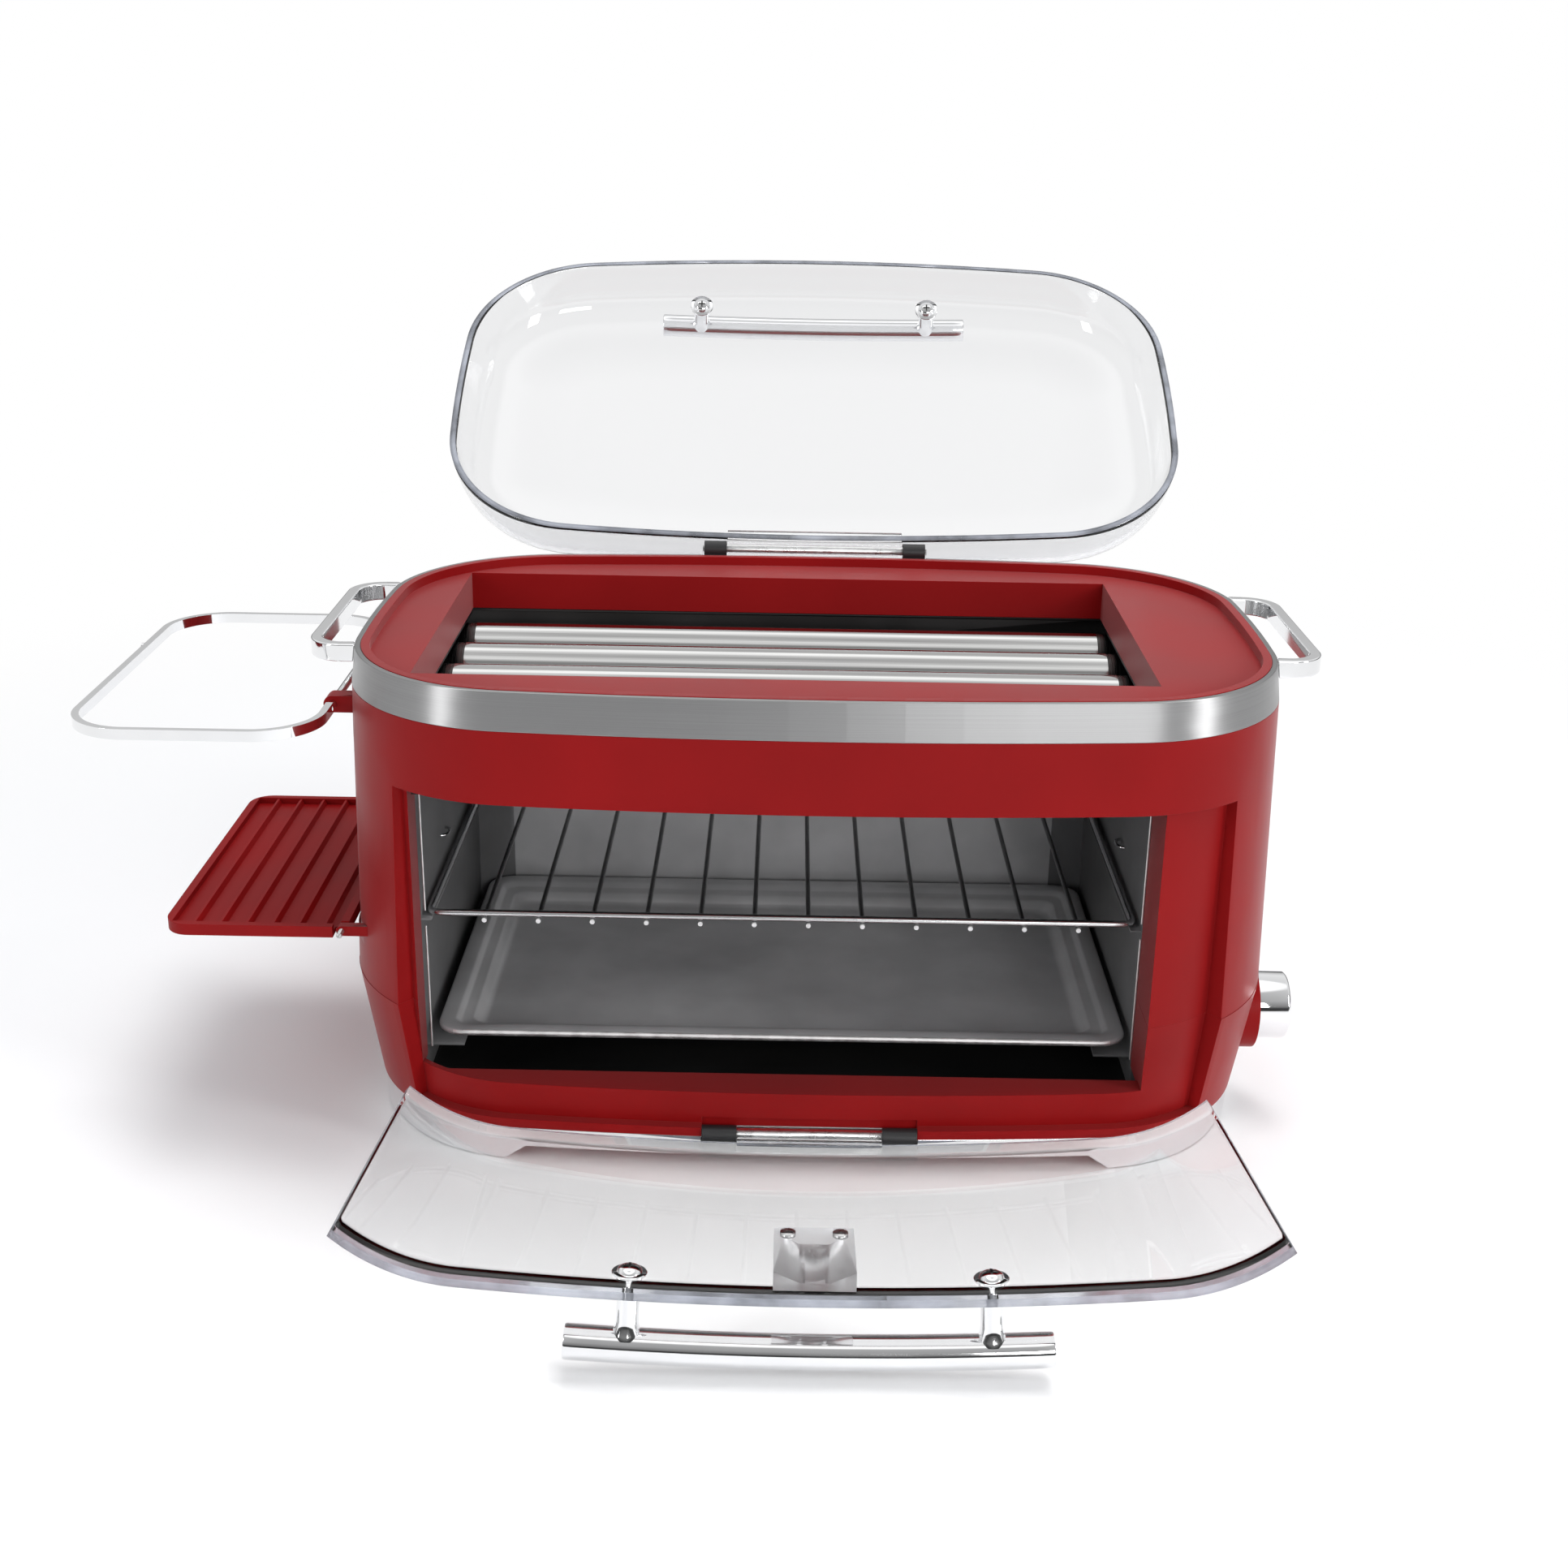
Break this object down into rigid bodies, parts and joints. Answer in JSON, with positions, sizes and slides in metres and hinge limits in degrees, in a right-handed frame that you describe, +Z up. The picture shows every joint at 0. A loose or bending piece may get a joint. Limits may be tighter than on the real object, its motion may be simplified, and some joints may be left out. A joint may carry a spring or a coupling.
{
  "type": "hot dog maker",
  "caption": "Countertop hot dog maker with a roller grill under a hinged clear lid, an oven with rack and tray behind a drop-down clear door, a folding shelf and a folding ring.",
  "frame": {"origin": "on the worktop, under the middle of the body", "axes": "+X to the object's right seen from the front, +Y to the back, +Z up"},
  "size_m": [0.517, 0.5977, 0.3299],
  "materials": {
    "red_plastic": "satin",
    "brushed_band": "brushed",
    "chrome_plating": "polished",
    "clear_acrylic": "polished",
    "black_plastic": "matte",
    "roller_steel": "polished",
    "rack_wire": "polished",
    "dark_liner": "satin",
    "plated_steel": "satin",
    "heater_sheath": "satin",
    "bearing_bronze": "satin",
    "gear_plastic": "matte"
  },
  "bodies": {
    "body": {"base_ring": "chrome_plating", "bottom_plate": "black_plastic", "body_screws": "plated_steel", "lower_casing": "red_plastic", "upper_casing": "red_plastic", "top_deck": "red_plastic", "trim_band": "brushed_band", "well_liner": "dark_liner", "bearing_plate_left": "plated_steel", "bearing_plate_right": "plated_steel", "roller_bushes": "bearing_bronze", "idler_pins": "plated_steel", "drive_motor": "plated_steel", "oven_side_left": "dark_liner", "oven_side_right": "dark_liner", "oven_back": "dark_liner", "oven_floor": "dark_liner", "lower_heater": "heater_sheath", "upper_heater": "heater_sheath", "lid_hinge_knuckles": "black_plastic", "lid_hinge_pin": "plated_steel", "door_hinge_knuckles": "black_plastic", "door_hinge_pin": "plated_steel", "door_catch": "black_plastic", "side_handle_left": "chrome_plating", "side_handle_right": "chrome_plating", "hinge_lugs": "black_plastic", "shelf_pin": "plated_steel", "timer_switch": "black_plastic", "power_inlet": "black_plastic"},
    "lid": {"lid": "clear_acrylic", "lid_handle_bar": "chrome_plating", "lid_handle_posts": "chrome_plating", "lid_handle_screws": "plated_steel"},
    "door": {"door_panel": "clear_acrylic", "door_handle_bar": "chrome_plating", "door_handle_posts": "chrome_plating", "door_handle_screws": "plated_steel", "latch_block": "clear_acrylic", "latch_screws": "plated_steel"},
    "rack": {"wire_rack": "rack_wire"},
    "tray": {"baking_tray": "dark_liner"},
    "ring": {"ring_frame": "chrome_plating"},
    "shelf": {"folding_shelf": "red_plastic"},
    "knob": {"control_knob": "chrome_plating"},
    "pinion": {"motor_pinion": "gear_plastic"},
    "roller_1": {"roller_1": "roller_steel", "roller_gear_1": "gear_plastic"},
    "roller_2": {"roller_2": "roller_steel", "roller_gear_2": "gear_plastic"},
    "roller_3": {"roller_3": "roller_steel", "roller_gear_3": "gear_plastic"},
    "roller_4": {"roller_4": "roller_steel", "roller_gear_4": "gear_plastic"},
    "roller_5": {"roller_5": "roller_steel", "roller_gear_5": "gear_plastic"},
    "idler_1": {"idler_gear_1": "gear_plastic"},
    "idler_2": {"idler_gear_2": "gear_plastic"},
    "idler_3": {"idler_gear_3": "gear_plastic"},
    "idler_4": {"idler_gear_4": "gear_plastic"}
  },
  "joints": [
    {"name": "lid_hinge", "type": "hinge", "parent": "body", "child": "lid", "pos_m": [0, 0.1166, 0.2112], "axis": [1, 0, 0], "range_deg": [0, 149]},
    {"name": "door_hinge", "type": "hinge", "parent": "body", "child": "door", "pos_m": [0, -0.111, 0.0185], "axis": [1, 0, 0], "range_deg": [-81, 0]},
    {"name": "rack_slide", "type": "slide", "parent": "body", "child": "rack", "axis": [0, -1, 0], "range_m": [0, 0.15]},
    {"name": "tray_slide", "type": "slide", "parent": "body", "child": "tray", "axis": [0, -1, 0], "range_m": [0, 0.065]},
    {"name": "ring_hinge", "type": "hinge", "parent": "body", "child": "ring", "pos_m": [-0.202, 0, 0.181], "axis": [0, -1, 0], "range_deg": [0, 55]},
    {"name": "shelf_hinge", "type": "hinge", "parent": "body", "child": "shelf", "pos_m": [-0.197, 0, 0.091], "axis": [0, 1, 0], "range_deg": [0, 90]},
    {"name": "knob_turn", "type": "hinge", "parent": "body", "child": "knob", "pos_m": [0.199, -0.042, 0.0485], "axis": [1, 0, 0], "range_deg": [0, 270]},
    {"name": "roller_1_spin", "type": "hinge", "parent": "body", "child": "roller_1", "pos_m": [0, -0.0647, 0.173], "axis": [1, 0, 0], "continuous": true},
    {"name": "roller_2_spin", "type": "hinge", "parent": "body", "child": "roller_2", "pos_m": [0, -0.0317, 0.173], "axis": [1, 0, 0], "continuous": true},
    {"name": "roller_3_spin", "type": "hinge", "parent": "body", "child": "roller_3", "pos_m": [0, 0.0013, 0.173], "axis": [1, 0, 0], "continuous": true},
    {"name": "roller_4_spin", "type": "hinge", "parent": "body", "child": "roller_4", "pos_m": [0, 0.0343, 0.173], "axis": [1, 0, 0], "continuous": true},
    {"name": "roller_5_spin", "type": "hinge", "parent": "body", "child": "roller_5", "pos_m": [0, 0.0673, 0.173], "axis": [1, 0, 0], "continuous": true},
    {"name": "idler_1_spin", "type": "hinge", "parent": "body", "child": "idler_1", "pos_m": [0.16, -0.0482, 0.173], "axis": [1, 0, 0], "continuous": true},
    {"name": "idler_2_spin", "type": "hinge", "parent": "body", "child": "idler_2", "pos_m": [0.16, -0.0152, 0.173], "axis": [1, 0, 0], "continuous": true},
    {"name": "idler_3_spin", "type": "hinge", "parent": "body", "child": "idler_3", "pos_m": [0.16, 0.0178, 0.173], "axis": [1, 0, 0], "continuous": true},
    {"name": "idler_4_spin", "type": "hinge", "parent": "body", "child": "idler_4", "pos_m": [0.16, 0.0508, 0.173], "axis": [1, 0, 0], "continuous": true},
    {"name": "pinion_spin", "type": "hinge", "parent": "body", "child": "pinion", "pos_m": [0.16, 0.0013, 0.156], "axis": [1, 0, 0], "continuous": true}
  ],
  "couplings": [
    {"joint": "roller_2_spin", "follows": "roller_1_spin", "ratio": 1},
    {"joint": "roller_3_spin", "follows": "roller_1_spin", "ratio": 1},
    {"joint": "roller_4_spin", "follows": "roller_1_spin", "ratio": 1},
    {"joint": "roller_5_spin", "follows": "roller_1_spin", "ratio": 1},
    {"joint": "idler_1_spin", "follows": "roller_1_spin", "ratio": -2},
    {"joint": "idler_2_spin", "follows": "roller_1_spin", "ratio": -2},
    {"joint": "idler_3_spin", "follows": "roller_1_spin", "ratio": -2},
    {"joint": "idler_4_spin", "follows": "roller_1_spin", "ratio": -2},
    {"joint": "pinion_spin", "follows": "roller_1_spin", "ratio": -1.8333}
  ]
}
